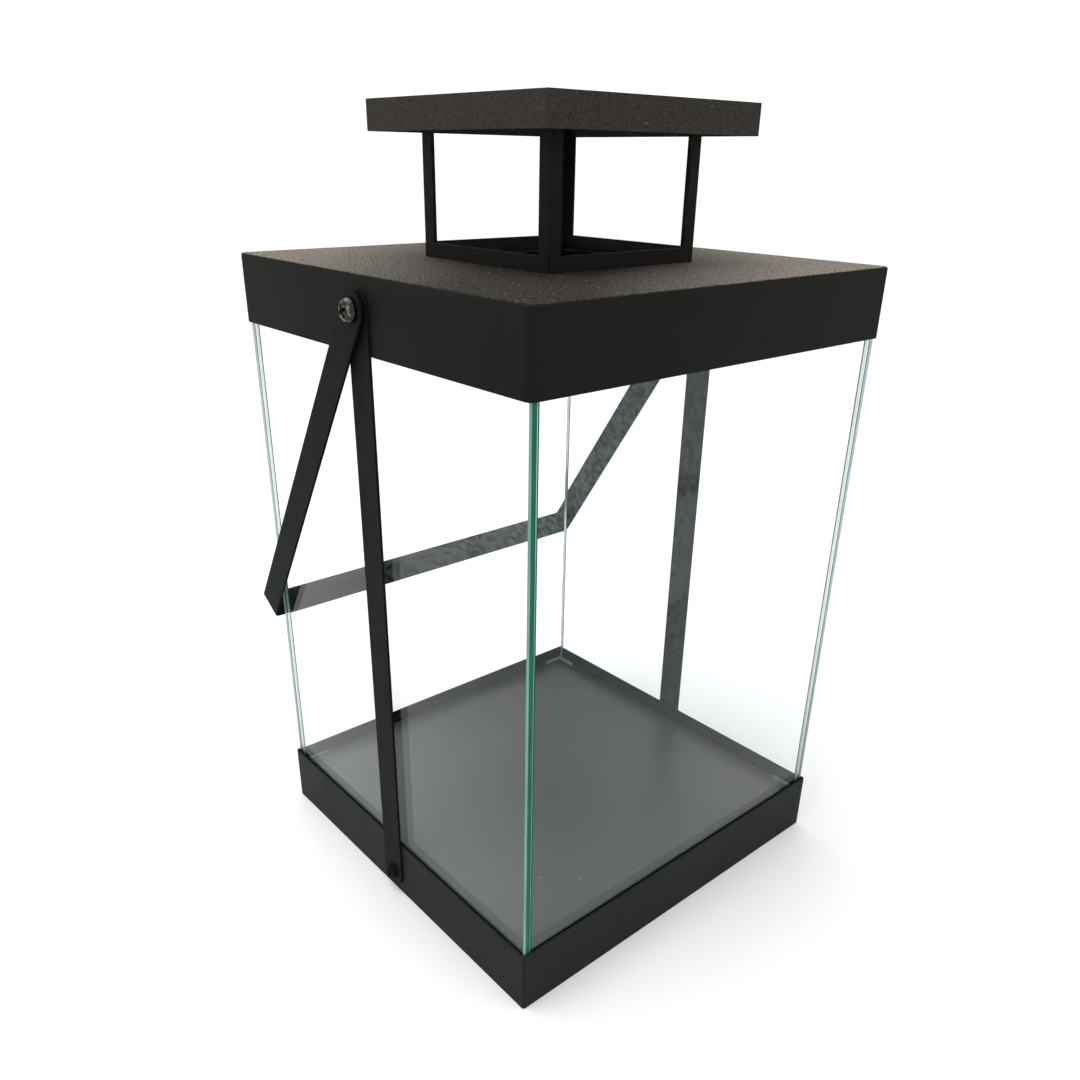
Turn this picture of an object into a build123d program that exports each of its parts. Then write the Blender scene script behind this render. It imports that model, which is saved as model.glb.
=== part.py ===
from build123d import *
import os
from math import asin, atan, cos, degrees, hypot, sin

# A glass candle lantern: a square steel base, four panes of glass, a steel hood with a vented
# chimney and cap, a strap down each side and a U-shaped handle that folds behind the glass.
# Millimetres. +Z is up and the origin is the centre of the base, on the surface it stands on.
# Front is -Y, rear is +Y (where the handle rests), left is -X and right is +X.

os.makedirs("parts", exist_ok=True)

# ---------------------------------------------------------------- driving dimensions
# Sheet-metal body
body_width = 250.0        # outside width of the base and of the hood, both ways
sheet = 1.0               # thickness of the sheet steel
base_height = 37.5        # height of the base rim
floor_height = 29.0       # top of the pan that the candle stands on
hood_bottom = 330.0       # lower edge of the hood's skirt
hood_height = 37.0        # height of the hood's skirt
fold_radius = 1.5         # outside radius of a tight fold
hood_corner_radius = 3.5  # outside radius of the hood's upright corners
rim_lip = 8.0             # width of the lip folded in under the rim
pan_flange = 8.0          # depth of the flange folded down round the pan
vent_width = 96.0         # square vent hole in the hood's top

# Glass
glass = 4.0               # thickness of a pane
glass_gap = 0.8           # between a pane and the sheet outside it
joint_gap = 0.3           # between a pane's end and its neighbour
glass_top = 342.0         # top edge of the fixed panes, inside the hood
arris = 0.4               # ground arris along the edges of a pane

# Cleats on the floor and guides in the hood, which hold the panes from inside
cleat_leg = 16.0
cleat_height = 2.5
cleat_thickness = 1.2
guide_leg = 30.0
guide_bottom = 334.0
guide_flange = 14.0
play = 0.3                # room left beside a piece that moves

# Chimney and cap
chimney_width = 103.0     # outside width of the chimney, both ways
post_leg = 8.2            # width of each leg of a corner post
foot_bar = 7.5            # height of the bar along the foot of the chimney
bar_gap = 1.2             # each foot bar stops this short of the next corner
cap_width = 143.0
cap_bottom = 427.5        # lower edge of the cap's skirt
cap_height = 15.0

# Straps and handle, from the same flat strip
strip_width = 18.0
strip = 1.5               # thickness of the strip
pivot_height = 351.0      # height of the handle's pivots
lower_screw_height = 13.0
handle_reach = 242.0      # from the pivots to the outside of the crossbar
handle_bend = 2.0         # inside radius of the handle's two bends
spacer = 1.2              # thickness of the washer between strap and handle
spacer_diameter = 12.0
pin_clearance = 0.075     # radial clearance of the handle's hole round the screw

# M6 pivot screws and M5 lower screws, pan heads with a cross recess, and their nuts
pivot_thread = 6.0
pivot_head_diameter = 12.0
pivot_head_height = 4.4
pivot_nut_width = 10.0
pivot_nut_height = 5.0
lower_thread = 5.0
lower_head_diameter = 9.5
lower_head_height = 3.6
lower_nut_width = 8.0
lower_nut_height = 4.4
screw_end = 1.0           # length of screw that shows past its nut
hole_clearance = 0.2      # radial, round a screw in a fixed piece

# The cross recess, as shares of the head's diameter and height
recess_length = 0.58
recess_width = 0.14
recess_depth = 0.55
recess_taper = 12         # degrees

# ---------------------------------------------------------------- derived dimensions
half_body = body_width / 2
inner_width = body_width - 2 * sheet
glass_outer = half_body - sheet - glass_gap   # from the middle to a pane's outer face
glass_inner = glass_outer - glass             # from the middle to a pane's inner face
hood_top = hood_bottom + hood_height
half_chimney = chimney_width / 2
cap_top = cap_bottom + cap_height
strap_face = half_body + strip                # from the middle to a strap's outer face
arm_inner = strap_face + spacer + play        # from the middle to a handle arm's inner face
arm_outer = arm_inner + strip
half_strip = strip_width / 2
inner_reach = handle_reach - strip

# The handle rests with the inner edge of its crossbar just clear of the rear pane.
rest_reach = hypot(inner_reach, half_strip)
rest_angle = asin((glass_outer + play) / rest_reach) + atan(half_strip / inner_reach)

corner_names = ["front_left", "rear_left", "rear_right", "front_right"]
side_names = {"left": -1, "right": 1}


def quarter_turn(count):
    """The frame of one of the four sides: each is a quarter turn on from the last, clockwise from above."""
    return Plane.XY.rotated((0, 0, -90 * count))


def outward(side, distance, height):
    """A plane that faces out of the left (-1) or right (1) side, with its x along the row's Y."""
    return Plane(origin=(side * distance, 0, height), x_dir=(0, 1, 0), z_dir=(side, 0, 0))


# ---------------------------------------------------------------- base
with BuildPart() as base_rim:
    with BuildSketch():
        RectangleRounded(body_width, body_width, fold_radius)
        RectangleRounded(inner_width, inner_width, fold_radius - sheet, mode=Mode.SUBTRACT)
    extrude(amount=base_height)
    with BuildSketch():
        RectangleRounded(inner_width, inner_width, fold_radius - sheet)
        Rectangle(inner_width - 2 * rim_lip, inner_width - 2 * rim_lip, mode=Mode.SUBTRACT)
    extrude(amount=sheet)
    with BuildSketch(Plane.YZ):
        with Locations((0, lower_screw_height)):
            Circle(lower_thread / 2 + hole_clearance)
    extrude(amount=body_width, both=True, mode=Mode.SUBTRACT)

base_rim.part.label = "base_rim"
export_step(base_rim.part, "parts/base_rim.step")

with BuildPart() as base_floor:
    with BuildSketch(Plane.XY.offset(floor_height - sheet - pan_flange)):
        RectangleRounded(inner_width, inner_width, fold_radius)
    extrude(amount=sheet + pan_flange)
    fillet(base_floor.faces().sort_by(Axis.Z)[-1].edges(), radius=sheet / 2)
    offset(amount=-sheet, openings=base_floor.faces().sort_by(Axis.Z)[0], kind=Kind.INTERSECTION)

base_floor.part.label = "base_floor"
export_step(base_floor.part, "parts/base_floor.step")

# ---------------------------------------------------------------- glass
# The left pane covers the ends of the front and rear panes, and these cover both ends of the right
# pane. Each span is drawn in its own side's frame, along y.
butted_end = glass_inner - joint_gap
pane_spans = {
    "left": (-glass_outer, glass_outer),
    "rear": (-butted_end, glass_outer),
    "right": (-butted_end, butted_end),
    "front": (-glass_outer, butted_end),
}
for count, name in enumerate(pane_spans):
    pane_start, pane_end = pane_spans[name]
    pane_bottom = floor_height + (play if name == "front" else 0)
    with BuildPart(quarter_turn(count)) as pane:
        with BuildSketch(quarter_turn(count).offset(pane_bottom)):
            with Locations((-(glass_outer + glass_inner) / 2, (pane_start + pane_end) / 2)):
                Rectangle(glass, pane_end - pane_start)
        extrude(amount=glass_top - pane_bottom)
        chamfer(pane.edges().filter_by(Axis.Z), length=arris)
        chamfer(pane.faces().sort_by(Axis.Z)[-1].edges(), length=arris)
    pane.part.label = f"pane_{name}"
    export_step(pane.part, f"parts/pane_{name}.step")


# ---------------------------------------------------------------- what holds the panes
def angle_profile(leg, thickness):
    """An L in the corner inside two panes, drawn in the frame of the front left corner."""
    corner = -(glass_inner - play)
    Polyline(
        (corner, corner),
        (corner + leg, corner),
        (corner + leg, corner + thickness),
        (corner + thickness, corner + thickness),
        (corner + thickness, corner + leg),
        (corner, corner + leg),
        close=True,
    )


for count, name in enumerate(corner_names):
    with BuildPart() as cleat:
        with BuildSketch(quarter_turn(count).offset(floor_height)):
            with BuildLine():
                angle_profile(cleat_leg, cleat_thickness)
            make_face()
        extrude(amount=cleat_height)
        fillet(cleat.faces().sort_by(Axis.Z)[-1].edges(), radius=cleat_thickness / 4)
    cleat.part.label = f"pane_cleat_{name}"
    export_step(cleat.part, f"parts/pane_cleat_{name}.step")

for count, name in enumerate(corner_names):
    flange_middle = -(glass_inner - play) + guide_flange / 2
    with BuildPart() as guide:
        with BuildSketch(quarter_turn(count).offset(guide_bottom)):
            with BuildLine():
                angle_profile(guide_leg, sheet)
            make_face()
        extrude(amount=hood_top - sheet - guide_bottom)
        with BuildSketch(quarter_turn(count).offset(hood_top - 2 * sheet)):
            with Locations((flange_middle, flange_middle)):
                Rectangle(guide_flange, guide_flange)
        extrude(amount=sheet)
    guide.part.label = f"pane_guide_{name}"
    export_step(guide.part, f"parts/pane_guide_{name}.step")

# ---------------------------------------------------------------- hood
with BuildPart() as hood:
    with BuildSketch(Plane.XY.offset(hood_bottom)):
        RectangleRounded(body_width, body_width, hood_corner_radius)
    extrude(amount=hood_height)
    fillet(hood.faces().sort_by(Axis.Z)[-1].edges(), radius=fold_radius)
    offset(amount=-sheet, openings=hood.faces().sort_by(Axis.Z)[0])
    with BuildSketch(Plane.XY.offset(hood_top)):
        Rectangle(vent_width, vent_width)
    extrude(amount=-2 * sheet, mode=Mode.SUBTRACT)
    with BuildSketch(Plane.YZ):
        with Locations((0, pivot_height)):
            Circle(pivot_thread / 2 + hole_clearance)
    extrude(amount=body_width, both=True, mode=Mode.SUBTRACT)

hood.part.label = "hood"
export_step(hood.part, "parts/hood.step")

# ---------------------------------------------------------------- chimney
# Each piece is a corner post, an L from above, whose one leg runs on along the foot as a bar and
# ends outside the free leg of the next post. A free leg sits one sheet in, behind that bar.
post_height = cap_top - sheet - hood_top
for count, name in enumerate(corner_names):
    with BuildPart() as chimney:
        with BuildSketch(quarter_turn(count).offset(hood_top)):
            with BuildLine():
                Polyline(
                    (-half_chimney, -half_chimney + sheet),
                    (-half_chimney + post_leg, -half_chimney + sheet),
                    (-half_chimney + post_leg, -half_chimney + 2 * sheet),
                    (-half_chimney + sheet, -half_chimney + 2 * sheet),
                    (-half_chimney + sheet, -half_chimney + post_leg),
                    (-half_chimney, -half_chimney + post_leg),
                    close=True,
                )
            make_face()
        extrude(amount=post_height)
        with BuildSketch(quarter_turn(count).offset(hood_top)):
            with Locations((-half_chimney + sheet / 2, (sheet - bar_gap) / 2)):
                Rectangle(sheet, chimney_width - sheet - bar_gap)
        extrude(amount=foot_bar)
    chimney.part.label = f"chimney_{name}"
    export_step(chimney.part, f"parts/chimney_{name}.step")

# ---------------------------------------------------------------- cap
with BuildPart() as cap:
    with BuildSketch(Plane.XY.offset(cap_bottom)):
        RectangleRounded(cap_width, cap_width, fold_radius)
    extrude(amount=cap_height)
    fillet(cap.faces().sort_by(Axis.Z)[-1].edges(), radius=sheet / 2)
    with BuildSketch(Plane.XY.offset(cap_bottom)):
        RectangleRounded(cap_width - 2 * sheet, cap_width - 2 * sheet, fold_radius - sheet)
    extrude(amount=cap_height - sheet, mode=Mode.SUBTRACT)

cap.part.label = "cap"
export_step(cap.part, "parts/cap.step")

# ---------------------------------------------------------------- straps
strap_length = pivot_height - lower_screw_height
for name, side in side_names.items():
    with BuildPart() as strap:
        with BuildSketch(outward(side, half_body, (pivot_height + lower_screw_height) / 2)):
            SlotCenterToCenter(strap_length, strip_width, rotation=90)
            with Locations((0, side * strap_length / 2)):
                Circle(pivot_thread / 2 + hole_clearance, mode=Mode.SUBTRACT)
            with Locations((0, -side * strap_length / 2)):
                Circle(lower_thread / 2 + hole_clearance, mode=Mode.SUBTRACT)
        extrude(amount=strip)
    strap.part.label = f"strap_{name}"
    export_step(strap.part, f"parts/strap_{name}.step")

# ---------------------------------------------------------------- handle
# Drawn in the plane of the U: x is across the lantern and y runs from the pivots to the crossbar.
handle_plane = Plane(
    origin=(0, 0, pivot_height),
    x_dir=(1, 0, 0),
    z_dir=(0, cos(rest_angle), sin(rest_angle)),
)
with BuildPart() as handle:
    with BuildSketch(handle_plane.offset(-half_strip)):
        with BuildLine():
            FilletPolyline(
                (-arm_outer, 0),
                (-arm_outer, handle_reach),
                (arm_outer, handle_reach),
                (arm_outer, 0),
                radius=handle_bend + strip,
            )
            Line((arm_outer, 0), (arm_inner, 0))
            FilletPolyline(
                (arm_inner, 0),
                (arm_inner, inner_reach),
                (-arm_inner, inner_reach),
                (-arm_inner, 0),
                radius=handle_bend,
            )
            Line((-arm_inner, 0), (-arm_outer, 0))
        make_face()
    extrude(amount=strip_width)
    for side in side_names.values():
        with BuildSketch(outward(side, arm_inner, pivot_height)):
            Circle(half_strip)
        extrude(amount=strip)
        with BuildSketch(outward(side, arm_inner, pivot_height)):
            Circle(pivot_thread / 2 + pin_clearance)
        extrude(amount=strip, mode=Mode.SUBTRACT)

handle.part.label = "handle"
export_step(handle.part, "parts/handle.step")


# ---------------------------------------------------------------- screws, nuts and washers
def pan_screw(side, seat, thread, length, diameter, height, level):
    """A pan-head screw whose head sits on the plane at seat and whose shank points inwards."""
    with BuildPart() as screw:
        with BuildSketch(outward(side, seat, level)):
            Circle(diameter / 2)
        extrude(amount=height)
        fillet(screw.edges().group_by(Axis.X)[-1 if side > 0 else 0], radius=0.8 * height)
        with BuildSketch(outward(side, seat, level)):
            Circle(thread / 2)
        extrude(amount=-length)
        chamfer(screw.edges().group_by(Axis.X)[0 if side > 0 else -1], length=0.1 * thread)
        with BuildSketch(outward(side, seat + height, level)):
            Rectangle(recess_length * diameter, recess_width * diameter)
            Rectangle(recess_width * diameter, recess_length * diameter)
        extrude(amount=-recess_depth * height, taper=recess_taper, mode=Mode.SUBTRACT)
    return screw.part


def hex_nut(side, seat, thread, width, height, level):
    """A chamfered nut against the plane at seat, on the inside of the wall."""
    with BuildPart() as nut:
        with BuildSketch(outward(side, seat - height, level)):
            RegularPolygon(radius=width / 2, side_count=6, major_radius=False)
        extrude(amount=height)
        with BuildSketch(outward(side, seat, level)):
            Circle(width / 2 + 0.5)
        extrude(amount=-height, taper=-4, mode=Mode.INTERSECT)
        with BuildSketch(outward(side, seat, level)):
            Circle(thread / 2)
        extrude(amount=-height, mode=Mode.SUBTRACT)
    return nut.part


inner_wall = half_body - sheet
screw_head_seat = arm_outer + play
for name, side in side_names.items():
    pivot_screw = pan_screw(
        side,
        seat=screw_head_seat,
        thread=pivot_thread,
        length=screw_head_seat - inner_wall + pivot_nut_height + screw_end,
        diameter=pivot_head_diameter,
        height=pivot_head_height,
        level=pivot_height,
    )
    pivot_screw.label = f"pivot_screw_{name}"
    export_step(pivot_screw, f"parts/pivot_screw_{name}.step")

    pivot_nut = hex_nut(side, inner_wall, pivot_thread, pivot_nut_width, pivot_nut_height, pivot_height)
    pivot_nut.label = f"pivot_nut_{name}"
    export_step(pivot_nut, f"parts/pivot_nut_{name}.step")

    lower_screw = pan_screw(
        side,
        seat=strap_face,
        thread=lower_thread,
        length=strap_face - inner_wall + lower_nut_height + screw_end,
        diameter=lower_head_diameter,
        height=lower_head_height,
        level=lower_screw_height,
    )
    lower_screw.label = f"lower_screw_{name}"
    export_step(lower_screw, f"parts/lower_screw_{name}.step")

    lower_nut = hex_nut(
        side, inner_wall, lower_thread, lower_nut_width, lower_nut_height, lower_screw_height
    )
    lower_nut.label = f"lower_nut_{name}"
    export_step(lower_nut, f"parts/lower_nut_{name}.step")

    with BuildPart() as washer:
        with BuildSketch(outward(side, strap_face, pivot_height)):
            Circle(spacer_diameter / 2)
            Circle(pivot_thread / 2 + hole_clearance, mode=Mode.SUBTRACT)
        extrude(amount=spacer)
    washer.part.label = f"spacer_{name}"
    export_step(washer.part, f"parts/spacer_{name}.step")

print("handle rests at", round(degrees(rest_angle), 2), "degrees from straight down")
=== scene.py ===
import math

import bmesh
import bpy
from mathutils import Matrix, Vector


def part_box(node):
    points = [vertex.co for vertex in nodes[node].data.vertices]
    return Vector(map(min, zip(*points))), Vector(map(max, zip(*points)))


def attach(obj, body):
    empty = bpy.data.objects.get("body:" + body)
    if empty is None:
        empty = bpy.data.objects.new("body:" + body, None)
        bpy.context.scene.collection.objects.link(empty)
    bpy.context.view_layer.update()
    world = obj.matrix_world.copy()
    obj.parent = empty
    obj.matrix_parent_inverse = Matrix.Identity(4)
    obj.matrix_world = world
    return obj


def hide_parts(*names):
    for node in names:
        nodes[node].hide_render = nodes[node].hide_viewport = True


# A glass lantern: steel base and hood, four panes, a vented chimney with a cap, two side straps and
# a folding handle. Metres. +Z is up, the front is -Y and the left side is -X.

MM = 0.001
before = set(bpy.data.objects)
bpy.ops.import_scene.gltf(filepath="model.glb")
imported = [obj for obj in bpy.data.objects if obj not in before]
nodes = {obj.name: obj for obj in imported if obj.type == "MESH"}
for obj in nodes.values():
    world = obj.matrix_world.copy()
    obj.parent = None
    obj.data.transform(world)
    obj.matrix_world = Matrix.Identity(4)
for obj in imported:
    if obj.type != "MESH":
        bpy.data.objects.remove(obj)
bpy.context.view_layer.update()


# ---------------------------------------------------------------- short ways to build a material
def new_material(name):
    """A node material, with its tree and its Principled shader."""
    made = bpy.data.materials.new(name)
    made.use_nodes = True
    return made, made.node_tree, made.node_tree.nodes["Principled BSDF"]


def fill(tree, node, inputs):
    """Links an input that is given as a socket, and sets any other."""
    for key, value in inputs.items():
        if isinstance(value, bpy.types.NodeSocket):
            tree.links.new(value, node.inputs[key])
        else:
            node.inputs[key].default_value = value


def add(tree, kind, inputs=None, **settings):
    """Adds a node with these inputs and settings."""
    made = tree.nodes.new(kind)
    for key, value in settings.items():
        setattr(made, key, value)
    fill(tree, made, inputs or {})
    return made


def object_place(tree):
    """A point's place in its own piece, which at rest is its place in the lantern."""
    return add(tree, "ShaderNodeTexCoord").outputs["Object"]


def noise(tree, place, size, detail=2.0):
    """Noise, mostly between 0.3 and 0.7, whose blobs are about size across, in metres."""
    inputs = {"Vector": place, "Scale": 1 / size, "Detail": detail}
    return add(tree, "ShaderNodeTexNoise", inputs).outputs["Fac"]


def stretched(tree, place, scale):
    """The place scaled along each axis, for marks that run one way."""
    return add(tree, "ShaderNodeMapping", {"Vector": place, "Scale": scale}).outputs["Vector"]


def spread(tree, value, low, high, to_low=0.0, to_high=1.0):
    """Value carried from low..high onto to_low..to_high, and held at both ends."""
    inputs = {
        "Value": value,
        "From Min": low,
        "From Max": high,
        "To Min": to_low,
        "To Max": to_high,
    }
    return add(tree, "ShaderNodeMapRange", inputs).outputs["Result"]


def drift(tree, place, size, low=0.0, high=1.0, detail=2.0):
    """A value that drifts from low to high over blobs about size across."""
    return spread(tree, noise(tree, place, size, detail), 0.3, 0.7, low, high)


def maths(tree, operation, first, second=0.0):
    """One sum on single values."""
    return add(tree, "ShaderNodeMath", {0: first, 1: second}, operation=operation).outputs[0]


def along(tree, place, direction):
    """How far a place lies along a direction."""
    inputs = {0: place, 1: direction}
    return add(tree, "ShaderNodeVectorMath", inputs, operation="DOT_PRODUCT").outputs["Value"]


def blend_colours(tree, share, first, second):
    """The first colour where share is 0 and the second where it is 1."""
    inputs = {0: share, 6: first, 7: second}
    return add(tree, "ShaderNodeMix", inputs, data_type="RGBA").outputs[2]


def faces_up(tree):
    """1 on level faces that look up, and 0 elsewhere."""
    normal = add(tree, "ShaderNodeNewGeometry").outputs["Normal"]
    up = add(tree, "ShaderNodeSeparateXYZ", {0: normal}).outputs["Z"]
    return spread(tree, up, 0.7, 0.95)


def faces_in(tree, place):
    """1 on faces that look towards the lantern's upright middle line, and 0 on the others."""
    normal = add(tree, "ShaderNodeTexCoord").outputs["Normal"]
    inputs = {0: place, 1: (1, 1, 0)}
    level = add(tree, "ShaderNodeVectorMath", inputs, operation="MULTIPLY").outputs[0]
    return spread(tree, along(tree, level, normal), -20 * MM, -80 * MM)


def specks(tree, place, cell, radius, kept, flat=True):
    """1 in tiny round specks. A cell of that size holds about one, and the kept share is there."""
    inputs = {"Vector": place, "Scale": 1 / cell}
    spots = add(tree, "ShaderNodeTexVoronoi", inputs, voronoi_dimensions="2D" if flat else "3D")
    near = spread(tree, spots.outputs["Distance"], radius / cell, 0.4 * radius / cell)
    pick = add(tree, "ShaderNodeSeparateColor", {0: spots.outputs["Color"]}).outputs[0]
    chosen = maths(tree, "GREATER_THAN", pick, 1 - kept)
    return maths(tree, "MULTIPLY", near, chosen)


def coat_bump(tree, shader, place, size, depth):
    """A fine uneven surface, such as powder coat has."""
    inputs = {"Height": noise(tree, place, size, 3.0), "Strength": 0.6, "Distance": depth}
    bump = add(tree, "ShaderNodeBump", inputs)
    fill(tree, shader, {"Normal": bump.outputs["Normal"]})


# ---------------------------------------------------------------- materials
def base_paint():
    """Dark blue-grey powder coat of the base rim, with painted light that makes its inner walls
    lighter.
    """
    made, tree, shader = new_material("base_paint")
    place = object_place(tree)
    cloud = spread(tree, noise(tree, place, 60 * MM), 0.35, 0.65)
    tone = blend_colours(tree, cloud, (0.0118, 0.0132, 0.0150, 1), (0.0140, 0.0154, 0.0172, 1))
    mark = specks(tree, place, 16 * MM, 0.35 * MM, 0.2, flat=False)
    tone = blend_colours(tree, mark, tone, (0.10, 0.10, 0.10, 1))
    # painted light: the faces that look inwards are made lighter
    tone = blend_colours(tree, faces_in(tree, place), tone, (0.056, 0.062, 0.060, 1))
    rough = drift(tree, place, 25 * MM, 0.46, 0.54)
    fill(tree, shader, {"Base Color": tone, "Roughness": rough, "Specular IOR Level": 0.045})
    coat_bump(tree, shader, place, 0.9 * MM, 0.04 * MM)
    return made


def pan_paint():
    """Half-gloss grey-black of the pan: lighter near its edges, darkened by painted shade at its
    rear corner, and with a few pale specks."""
    made, tree, shader = new_material("pan_paint")
    place = object_place(tree)
    # painted shade: the pan darkens towards its rear corner
    painted_shade_at_rear = spread(tree, along(tree, place, (1, 1, 0)), 20 * MM, 200 * MM)
    film = drift(tree, place, 90 * MM, detail=1.0)
    tone = blend_colours(tree, film, (0.044, 0.051, 0.050, 1), (0.052, 0.059, 0.058, 1))
    out = add(tree, "ShaderNodeVectorMath", {0: place}, operation="LENGTH").outputs["Value"]
    at_edge = spread(tree, out, 30 * MM, 120 * MM)
    tone = blend_colours(tree, at_edge, tone, (0.078, 0.085, 0.084, 1))
    tone = blend_colours(tree, painted_shade_at_rear, tone, (0.012, 0.0135, 0.013, 1))
    streak = noise(tree, stretched(tree, place, (1, 0.12, 1)), 3 * MM, 3.0)
    wiped = spread(tree, streak, 0.5, 0.8, 0.0, 0.1)
    tone = blend_colours(tree, wiped, tone, (0.12, 0.125, 0.12, 1))
    patch = spread(tree, noise(tree, place, 35 * MM), 0.46, 0.6)
    small = specks(tree, place, 4.5 * MM, 0.36 * MM, 0.3)
    large = specks(tree, place, 17 * MM, 0.55 * MM, 0.3)
    patchy = maths(tree, "MULTIPLY", small, patch)
    tone = blend_colours(tree, patchy, tone, (0.32, 0.32, 0.31, 1))
    tone = blend_colours(tree, large, tone, (0.48, 0.48, 0.46, 1))
    rough = drift(tree, place, 60 * MM, 0.28, 0.34)
    fill(tree, shader, {"Base Color": tone, "Roughness": rough, "Specular IOR Level": 0.3})
    return made


def hood_paint():
    """Smooth near-black skirt, and a grainy top with pale specks. Towards its left and right
    corners the top is lighter and browner, from dust and a painted sheen.
    """
    made, tree, shader = new_material("hood_paint")
    place = object_place(tree)
    level = faces_up(tree)
    cloud = drift(tree, place, 70 * MM)
    skirt = blend_colours(tree, cloud, (0.0078, 0.0079, 0.0070, 1), (0.0098, 0.0098, 0.0088, 1))
    # towards the left and right corners the top takes a lighter, browner tone: dust, and a painted
    # sheen
    across = maths(tree, "ADD", along(tree, place, (1, -1, 0)), 10 * MM)
    corner_dust_and_sheen = spread(tree, maths(tree, "ABSOLUTE", across), 40 * MM, 180 * MM)
    grain = spread(tree, noise(tree, place, 1.2 * MM, 3.0), 0.40, 0.61)
    clean = blend_colours(tree, grain, (0.006, 0.0055, 0.005, 1), (0.050, 0.044, 0.038, 1))
    dust_and_light = blend_colours(tree, grain, (0.070, 0.062, 0.052, 1), (0.250, 0.222, 0.190, 1))
    top = blend_colours(tree, corner_dust_and_sheen, clean, dust_and_light)
    mark = specks(tree, place, 4.2 * MM, 0.5 * MM, 0.09)
    top = blend_colours(tree, mark, top, (0.40, 0.37, 0.33, 1))
    tone = blend_colours(tree, level, skirt, top)
    rough = spread(tree, level, 0.0, 1.0, 0.5, 0.7)
    fill(tree, shader, {"Base Color": tone, "Roughness": rough, "Specular IOR Level": 0.03})
    coat_bump(tree, shader, place, 0.8 * MM, 0.05 * MM)
    return made


def cap_paint():
    """Dark brown-grey powder coat with a fine grain."""
    made, tree, shader = new_material("cap_paint")
    place = object_place(tree)
    grain = spread(tree, noise(tree, place, 0.9 * MM, 3.0), 0.32, 0.7)
    tone = blend_colours(tree, grain, (0.017, 0.0147, 0.0128, 1), (0.041, 0.036, 0.031, 1))
    mark = specks(tree, place, 11 * MM, 0.4 * MM, 0.25, flat=False)
    tone = blend_colours(tree, mark, tone, (0.3, 0.28, 0.26, 1))
    fill(tree, shader, {"Base Color": tone, "Roughness": 0.62, "Specular IOR Level": 0.06})
    coat_bump(tree, shader, place, 0.8 * MM, 0.06 * MM)
    return made


def chimney_paint():
    """The darkest coat, on the posts, the chimney's foot and the guides in the hood."""
    made, tree, shader = new_material("chimney_paint")
    place = object_place(tree)
    grain = spread(tree, noise(tree, place, 1.2 * MM, 3.0), 0.35, 0.7)
    tone = blend_colours(tree, grain, (0.0060, 0.0055, 0.0050, 1), (0.0140, 0.0125, 0.0112, 1))
    rough = drift(tree, place, 8 * MM, 0.48, 0.6)
    fill(tree, shader, {"Base Color": tone, "Roughness": rough, "Specular IOR Level": 0.05})
    coat_bump(tree, shader, place, 0.9 * MM, 0.05 * MM)
    return made


def strip_paint(name, dust_and_light):
    """Smooth black coat of the strips. A lighter film, from 0 to 1, lies on the faces that look
    inwards,
    and thins out towards the left side: partly dust and partly painted light."""
    made, tree, shader = new_material(name)
    place = object_place(tree)
    cloud = drift(tree, stretched(tree, place, (1, 1, 0.3)), 18 * MM, detail=3.0)
    tone = blend_colours(tree, cloud, (0.0058, 0.0070, 0.0067, 1), (0.0078, 0.0092, 0.0088, 1))
    rightward = spread(tree, along(tree, place, (1, 0, 0)), -110 * MM, 100 * MM)
    there = maths(tree, "MULTIPLY", rightward, faces_in(tree, place))
    # the lighter film on the inward faces: partly dust, partly painted light
    blotch = spread(tree, noise(tree, place, 4.5 * MM, 4.0), 0.36, 0.66, 0.0, dust_and_light)
    film = maths(tree, "MULTIPLY", blotch, there)
    tone = blend_colours(tree, film, tone, (0.125, 0.150, 0.144, 1))
    speck = specks(tree, place, 3.6 * MM, 0.5 * MM, 0.4 * dust_and_light, flat=False)
    mark = maths(tree, "MULTIPLY", speck, there)
    tone = blend_colours(tree, mark, tone, (0.30, 0.31, 0.29, 1))
    rough = drift(tree, place, 10 * MM, 0.42, 0.5)
    fill(tree, shader, {"Base Color": tone, "Roughness": rough, "Specular IOR Level": 0.022})
    coat_bump(tree, shader, place, 0.8 * MM, 0.03 * MM)
    return made


def screw_metal():
    """Dark, glossy plating of the screws with a trace of wear, whose lighter patches are also
    painted glints.
    """
    made, tree, shader = new_material("screw_metal")
    place = object_place(tree)
    # lighter patches: worn plating and painted glints
    wear_and_glints = spread(tree, noise(tree, place, 2.6 * MM, 2.0), 0.52, 0.68)
    tone = blend_colours(tree, wear_and_glints, (0.034, 0.031, 0.029, 1), (0.20, 0.18, 0.155, 1))
    rough = drift(tree, place, 0.9 * MM, 0.16, 0.26)
    fill(tree, shader, {"Base Color": tone, "Roughness": rough, "Metallic": 1.0})
    return made


def recess_painted_shade():
    """Painted shade: the darker inside of a screw's cross recess."""
    made, tree, shader = new_material("recess_painted_shade")
    # painted shade, a little mottled, in the recess
    shade_mottle = drift(tree, object_place(tree), 0.5 * MM)
    tone = blend_colours(tree, shade_mottle, (0.004, 0.004, 0.004, 1), (0.012, 0.011, 0.010, 1))
    fill(tree, shader, {"Base Color": tone, "Roughness": 0.45, "Specular IOR Level": 0.05})
    return made


def nut_metal():
    """Dull zinc of the nuts."""
    made, tree, shader = new_material("nut_metal")
    place = object_place(tree)
    spangle = spread(tree, noise(tree, place, 2 * MM, 3.0), 0.35, 0.65)
    tone = blend_colours(tree, spangle, (0.30, 0.30, 0.31, 1), (0.48, 0.47, 0.45, 1))
    rough = drift(tree, place, 1.2 * MM, 0.3, 0.5)
    fill(tree, shader, {"Base Color": tone, "Roughness": rough, "Metallic": 1.0})
    return made


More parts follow.
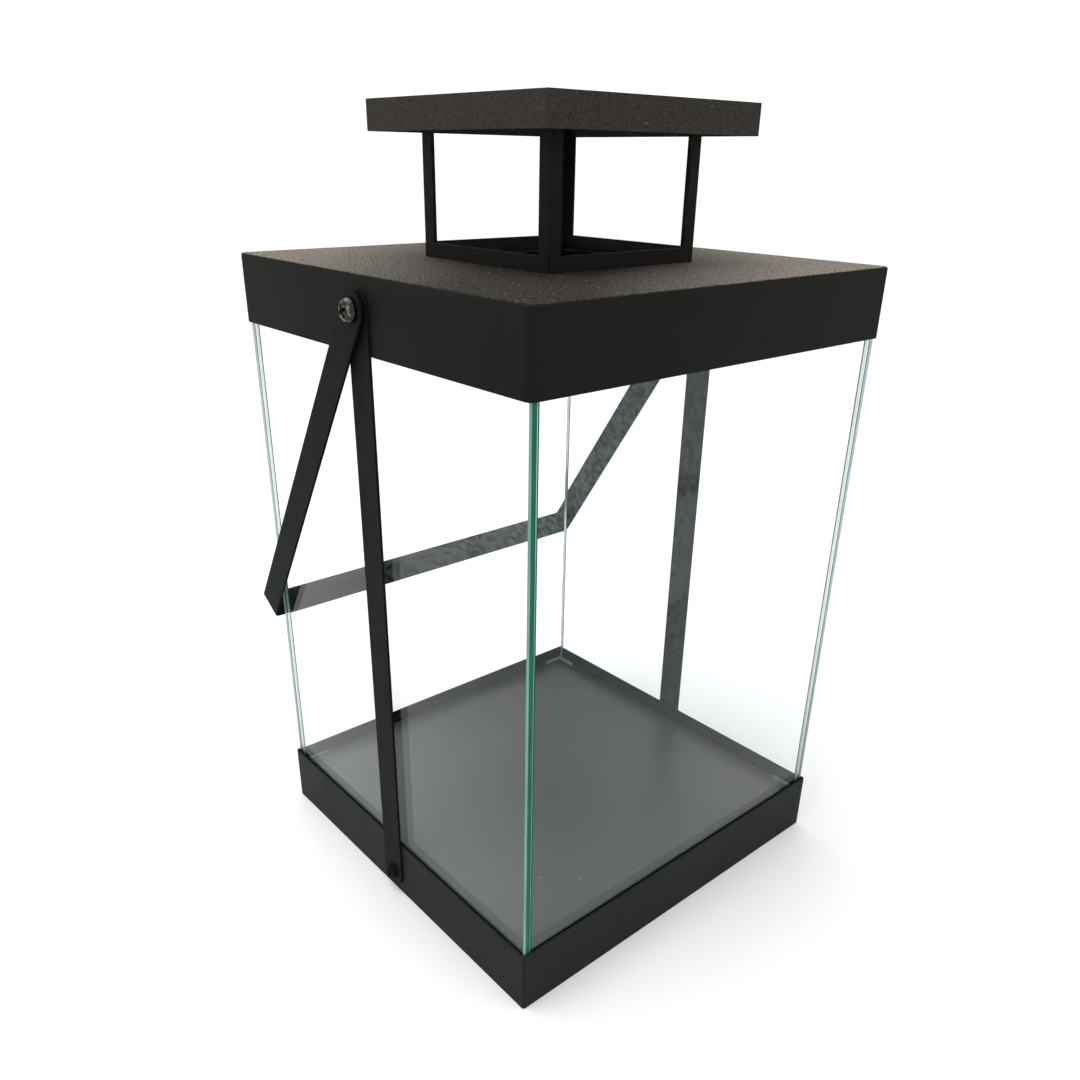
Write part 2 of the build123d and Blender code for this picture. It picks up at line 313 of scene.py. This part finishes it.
def open_to_lamps(made, tree, shader, tint):
    """Lets lamps shine through a glass shader, as a clear pane does."""
    clear = add(tree, "ShaderNodeBsdfTransparent", {"Color": tint})
    shadow = add(tree, "ShaderNodeLightPath").outputs["Is Shadow Ray"]
    inputs = {0: shadow, 1: shader.outputs[0], 2: clear.outputs[0]}
    shown = add(tree, "ShaderNodeMixShader", inputs)
    fill(tree, tree.nodes["Material Output"], {"Surface": shown.outputs[0]})
    return made


def glass():
    """Clear float glass with a trace of green."""
    made, tree, shader = new_material("glass")
    drawn = noise(tree, stretched(tree, object_place(tree), (1, 1, 0.2)), 50 * MM)
    tone = blend_colours(tree, drawn, (0.965, 0.990, 0.982, 1), (0.980, 0.994, 0.988, 1))
    inputs = {
        "Base Color": tone,
        "Roughness": 0.0,
        "IOR": 1.2,
        "Specular Tint": (0.82, 1.0, 0.96, 1),
        "Transmission Weight": 1.0,
    }
    fill(tree, shader, inputs)
    return open_to_lamps(made, tree, shader, (0.96, 0.985, 0.975, 1))


def glass_end(name, low, high, clear):
    """A cut edge of the glass, between two greens. Clear is the share of light it lets through."""
    made, tree, shader = new_material(name)
    streak = drift(tree, stretched(tree, object_place(tree), (1, 1, 0.08)), 2.2 * MM)
    tone = blend_colours(tree, streak, low, high)
    inputs = {
        "Base Color": tone,
        "Roughness": 0.3,
        "IOR": 1.27,
        "Specular IOR Level": 0.25,
        "Transmission Weight": clear,
    }
    fill(tree, shader, inputs)
    return made


def clear_plastic():
    """Clear plastic of the cleats, whose edges catch the light."""
    made, tree, shader = new_material("clear_plastic")
    haze = drift(tree, object_place(tree), 5 * MM, detail=3.0)
    tone = blend_colours(tree, haze, (0.16, 0.30, 0.26, 1), (0.24, 0.40, 0.35, 1))
    inputs = {"Base Color": tone, "Roughness": 0.12, "IOR": 1.3, "Transmission Weight": 0.35}
    fill(tree, shader, inputs)
    return open_to_lamps(made, tree, shader, (0.8, 0.9, 0.86, 1))


def studio_floor():
    """Plain white studio floor."""
    made, tree, shader = new_material("studio_floor")
    cloud = drift(tree, object_place(tree), 0.6)
    tone = blend_colours(tree, cloud, (0.90, 0.90, 0.90, 1), (0.92, 0.92, 0.92, 1))
    fill(tree, shader, {"Base Color": tone, "Roughness": 0.9, "Specular IOR Level": 0.1})
    return made


# ---------------------------------------------------------------- CAD pieces that stay
FOLD_EDGE = 0.25 * MM  # rounding of the folded sheets' edges
THIN_EDGE = 0.2 * MM  # of the pan, the chimney, the guides and the cleats
STRIP_EDGE = 0.22 * MM  # of the straps and the handle
SMALL_EDGE = 0.12 * MM  # of the washers and nuts


def finish_node(name, material, edge):
    """Paints a CAD node and rounds its edges a little, so that they catch the light."""
    node = nodes[name]
    node.data.materials.clear()
    node.data.materials.append(material)
    weld = node.modifiers.new("weld", "WELD")
    weld.merge_threshold = 0.01 * MM
    flat = node.modifiers.new("flat", "DECIMATE")
    flat.decimate_type = "DISSOLVE"
    flat.angle_limit = math.radians(0.3)
    bevel = node.modifiers.new("edge", "BEVEL")
    bevel.limit_method = "ANGLE"
    bevel.angle_limit = math.radians(35)
    bevel.width = edge
    bevel.segments = 2
    bevel.use_clamp_overlap = True
    node.modifiers.new("shading", "WEIGHTED_NORMAL").keep_sharp = True


chimney_coat = chimney_paint()
plastic = clear_plastic()
finish_node("base_rim", base_paint(), FOLD_EDGE)
finish_node("base_floor", pan_paint(), THIN_EDGE)
finish_node("hood", hood_paint(), FOLD_EDGE)
finish_node("cap", cap_paint(), FOLD_EDGE)
for corner in ("front_left", "rear_left", "rear_right", "front_right"):
    finish_node(f"chimney_{corner}", chimney_coat, THIN_EDGE)
    finish_node(f"pane_guide_{corner}", chimney_coat, THIN_EDGE)
    finish_node(f"pane_cleat_{corner}", plastic, THIN_EDGE)
clean_strip = strip_paint("strip_paint", 0.0)
finish_node("strap_left", clean_strip, STRIP_EDGE)
finish_node("strap_right", strip_paint("strip_paint_dust_and_light", 0.35), STRIP_EDGE)
finish_node("handle", strip_paint("strip_paint_handle", 0.9), STRIP_EDGE)
zinc = nut_metal()
for side in ("left", "right"):
    finish_node(f"spacer_{side}", clean_strip, SMALL_EDGE)
    finish_node(f"pivot_nut_{side}", zinc, SMALL_EDGE)
    finish_node(f"lower_nut_{side}", zinc, SMALL_EDGE)


# ---------------------------------------------------------------- glass panes
ARRIS = 0.45 * MM  # width of the ground arrises
BROAD_ARRIS = 0.9 * MM  # of the upright ones on the outer face at an exposed end
SHADOW_GAP_TOP = 38.2 * MM  # painted shadow: the outer faces are black below this, down behind the rim, for the shadow gap there
FOOT_TOP = 1 * MM  # and so is everything this close to a pane's foot, as painted shade
EXPOSED_FROM = 121 * MM  # ends further out than this are exposed, and the others are butted

# the places of a pane's materials in its list
CLEAR, DEEP, BUTTED, SHADOW_BLACK, PALE, PAINTED_LIGHT_END = range(6)
pane_materials = (
    glass(),
    glass_end("glass_end_deep", (0.003, 0.088, 0.060, 1), (0.010, 0.128, 0.090, 1), 0.0),
    glass_end("glass_end_pale", (0.70, 0.80, 0.74, 1), (0.82, 0.88, 0.84, 1), 0.5),
    # painted shadow: black for the outer faces behind the rim and for the feet
    glass_end("glass_painted_shadow", (0.006, 0.010, 0.009, 1), (0.012, 0.020, 0.018, 1), 0.0),
    glass_end("glass_arris", (0.13, 0.27, 0.23, 1), (0.19, 0.35, 0.30, 1), 0.0),
    # painted light: a lighter copy of the deep green, for the ends that look to the right or rear
    glass_end("glass_end_painted_light", (0.40, 0.62, 0.54, 1), (0.50, 0.70, 0.62, 1), 0.4),
)


def face_material(normal, place, foot, across, outward, is_outer):
    """Which material a pane's face takes. An exposed end is deep green if it looks to the front or
    left, and a painted lighter green if not, standing in for light that comes through it from
    behind."""
    lengthwise = 1 - across
    is_exposed = abs(place[lengthwise]) > EXPOSED_FROM
    # painted shadow in the gap between the rim and the pane
    if normal[across] * outward > 0.9 and place.z < SHADOW_GAP_TOP:
        return SHADOW_BLACK
    if abs(normal[across]) > 0.9:
        return CLEAR
    if abs(normal[lengthwise]) > 0.9 and is_exposed:
        return PAINTED_LIGHT_END if normal[lengthwise] > 0 else DEEP
    if abs(normal[lengthwise]) > 0.9:
        return BUTTED
    # painted shade at the pane's foot
    if place.z < foot + FOOT_TOP:
        return SHADOW_BLACK
    if abs(normal.z) < 0.1 and not (is_outer and is_exposed):
        return DEEP
    return PALE


def pane(name, body):
    """A pane with ground arrises, on the CAD pane's place."""
    low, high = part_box(f"pane_{name}")
    size = high - low
    middle = (low + high) / 2
    across = 0 if size.x < size.y else 1
    outward = 1 if middle[across] > 0 else -1

    def is_outer(place):
        return (place[across] - middle[across]) * outward > 0

    def is_broad(edge):
        """True for an upright edge on the outer face at an exposed end."""
        place = (edge.verts[0].co + edge.verts[1].co) / 2
        is_upright = abs(edge.verts[0].co.z - edge.verts[1].co.z) > 0.5 * size.z
        return is_upright and is_outer(place) and abs(place[1 - across]) > EXPOSED_FROM

    bm = bmesh.new()
    bmesh.ops.create_cube(bm, size=1.0)
    bm.transform(Matrix.Translation(middle) @ Matrix.Diagonal((*size, 1)))
    settings = {"offset_type": "OFFSET", "segments": 1, "affect": "EDGES"}
    broad = [edge for edge in bm.edges if is_broad(edge)]
    bmesh.ops.bevel(bm, geom=broad, offset=BROAD_ARRIS, **settings)
    square = [edge for edge in bm.edges if edge.calc_face_angle() > math.radians(80)]
    bmesh.ops.bevel(bm, geom=square, offset=ARRIS, **settings)
    everything = bm.verts[:] + bm.edges[:] + bm.faces[:]
    bmesh.ops.bisect_plane(bm, geom=everything, plane_co=(0, 0, SHADOW_GAP_TOP), plane_no=(0, 0, 1))
    for face in bm.faces:
        place = face.calc_center_median()
        face.material_index = face_material(
            face.normal, place, low.z, across, outward, is_outer(place)
        )
    mesh = bpy.data.meshes.new(f"glass_{name}")
    bm.to_mesh(mesh)
    bm.free()
    for material in pane_materials:
        mesh.materials.append(material)
    piece = bpy.data.objects.new(f"glass_{name}", mesh)
    bpy.context.scene.collection.objects.link(piece)
    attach(piece, body)
    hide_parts(f"pane_{name}")


pane("left", "lantern")
pane("front", "front_pane")
pane("right", "lantern")
pane("rear", "lantern")


# ---------------------------------------------------------------- screws
M6 = {"radius": 6.0 * MM, "height": 4.4 * MM, "thread": 6.0 * MM, "pitch": 1.0 * MM}
M5 = {"radius": 4.75 * MM, "height": 3.6 * MM, "thread": 5.0 * MM, "pitch": 0.8 * MM}
TURNS = 64  # points round a screw
HEAD_ROWS = 45  # rings from a head's rim to the middle of its top
PITCH_ROWS = 8  # rings to a turn of the thread
RECESS_LENGTH = 1.16  # of the cross recess, as a share of the head's radius
RECESS_WIDTH = 0.28
RECESS_DEPTH = 0.55  # as a share of the head's height
WALL_START = 0.12 * MM  # how far outside its wings the recess starts
WALL_LEAN = 0.34 * MM  # how far its walls lean in


def ring(radius, height):
    """Points round the screw's axis at one height."""
    steps = [2 * math.pi * count / TURNS for count in range(TURNS)]
    return [Vector((radius * math.cos(a), radius * math.sin(a), height)) for a in steps]


def recess_depth(x, y, radius, deepest):
    """Depth of a cross recess: four wings whose floors rise outwards, and walls that lean."""
    length = RECESS_LENGTH * radius
    width = RECESS_WIDTH * radius
    apart = min(
        max(abs(x) - length / 2, abs(y) - width / 2),
        max(abs(y) - length / 2, abs(x) - width / 2),
    )
    wall = min(max((WALL_START - apart) / WALL_LEAN, 0.0), 1.0)
    out = min(math.hypot(x, y) / (length / 2), 1.0)
    return deepest * (1.0 - 0.6 * out) * wall * wall * (3 - 2 * wall)


def head_rings(radius, height):
    """The domed head with its cross recess, from the rim of its seat to the middle of its top."""
    rings = [ring(radius * 0.97, 0), ring(radius, 0.06 * height)]
    for count in range(HEAD_ROWS - 1):
        share = 1 - (count + 1) / HEAD_ROWS
        level = height * (1 - share**3.4) ** 0.55
        points = ring(radius * share, level)
        for point in points:
            point.z -= recess_depth(point.x, point.y, radius, RECESS_DEPTH * height)
        rings.append(points)
    return rings


def thread_rings(radius, length, pitch):
    """A shank with a helical thread, from its tip up to the seat."""
    rings = [ring(radius * 0.5, -length), ring(radius * 0.8, -length + 0.05 * pitch)]
    rows = int(length / pitch * PITCH_ROWS)
    for row in range(1, rows):
        height = -length + length * row / rows
        points = []
        for count, point in enumerate(ring(1.0, 0)):
            turn = (height / pitch - count / TURNS) % 1.0
            ridge = 1 - abs(2 * turn - 1)
            taper = min((height + length) / pitch, 1.0)
            reach = radius - 0.45 * pitch * (1 - ridge) - 0.1 * radius * (1 - taper)
            points.append(Vector((point.x * reach, point.y * reach, height)))
        rings.append(points)
    rings.append(ring(radius * 0.95, 0))
    return rings


def in_recess(face, radius):
    """True for a face in the head's cross recess, on a screw that still stands at the origin."""
    place = face.calc_center_median()
    return place.z > 0 and recess_depth(place.x, place.y, radius, 1.0) > 0.12


def screw(name, side, turned, coat, radius, height, thread, pitch):
    """A pan-head screw on the CAD screw's axis. Turned is how far round its cross stands."""
    low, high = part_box(name)
    length = (high.x - low.x) - height
    seat = high.x - height if side > 0 else low.x + height
    middle = (low + high) / 2
    rings = thread_rings(thread / 2, length, pitch) + head_rings(radius, height)
    bm = bmesh.new()
    rows = [[bm.verts.new(point) for point in points] for points in rings]
    for first, second in zip(rows, rows[1:]):
        for count in range(TURNS):
            after = (count + 1) % TURNS
            bm.faces.new((first[count], first[after], second[after], second[count]))
    bm.faces.new(reversed(rows[0]))
    bm.faces.new(rows[-1])
    for face in bm.faces:
        # faces in the recess take the painted shade
        face.material_index = 1 if in_recess(face, radius) else 0
    turn = Matrix.Rotation(math.radians(turned), 4, "Z")
    stand = Matrix.Rotation(math.radians(90 * side), 4, "Y")
    bm.transform(Matrix.Translation((seat, middle.y, middle.z)) @ stand @ turn)
    bmesh.ops.recalc_face_normals(bm, faces=bm.faces)
    mesh = bpy.data.meshes.new(f"made_{name}")
    bm.to_mesh(mesh)
    bm.free()
    mesh.materials.append(coat)
    mesh.materials.append(recess)
    mesh.shade_smooth()
    mesh.set_sharp_from_angle(angle=math.radians(50))
    piece = bpy.data.objects.new(f"made_{name}", mesh)
    bpy.context.scene.collection.objects.link(piece)
    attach(piece, "lantern")
    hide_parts(name)


plating = screw_metal()
recess = recess_painted_shade()
screw("pivot_screw_left", -1, 24, plating, **M6)
screw("pivot_screw_right", 1, -38, plating, **M6)
screw("lower_screw_left", -1, 12, clean_strip, **M5)
screw("lower_screw_right", 1, 51, clean_strip, **M5)


# ---------------------------------------------------------------- studio
FLOOR_RADIUS = 40.0
FLOOR_DROP = 0.2 * MM  # keeps the floor just clear of the rim's lower edge


def studio():
    """A wide white floor, an even white surround and one large soft lamp overhead."""
    bm = bmesh.new()
    bmesh.ops.create_circle(bm, cap_ends=True, segments=96, radius=FLOOR_RADIUS)
    mesh = bpy.data.meshes.new("studio_floor")
    bm.to_mesh(mesh)
    bm.free()
    mesh.materials.append(studio_floor())
    floor = bpy.data.objects.new("studio_floor", mesh)
    floor.location.z = -FLOOR_DROP
    bpy.context.scene.collection.objects.link(floor)

    world = bpy.data.worlds.new("studio")
    world.use_nodes = True
    sky = world.node_tree.nodes["Background"]
    fill(world.node_tree, sky, {"Color": (1, 1, 1, 1), "Strength": 1.12})
    bpy.context.scene.world = world

    lamp = bpy.data.lights.new("softbox", "AREA")
    lamp.shape = "DISK"
    lamp.size = 1.8
    lamp.energy = 21
    stand = bpy.data.objects.new("softbox", lamp)
    stand.location = (-0.5, 0.3, 2.1)
    aim = Vector((0, 0, 0.2)) - stand.location
    stand.rotation_euler = aim.to_track_quat("-Z", "Y").to_euler()
    bpy.context.scene.collection.objects.link(stand)
    bpy.context.scene.view_settings.view_transform = "Standard"


def camera():
    """The camera, a little above the hood and off the front left corner."""
    right = Vector((0.75957, -0.65029, 0.01335))
    up = Vector((0.27363, 0.33810, 0.90045))
    back = right.cross(up)
    made = bpy.data.cameras.new("camera")
    made.lens = 31.24
    made.sensor_width = 36
    made.shift_x = 0.0049
    made.shift_y = 0.0637
    made.clip_start = 0.01
    stand = bpy.data.objects.new("camera", made)
    turn = Matrix((right, up, back)).transposed().to_4x4()
    stand.matrix_world = Matrix.Translation((-0.3607, -0.4013, 0.4169)) @ turn
    bpy.context.scene.collection.objects.link(stand)
    bpy.context.scene.camera = stand


studio()
camera()
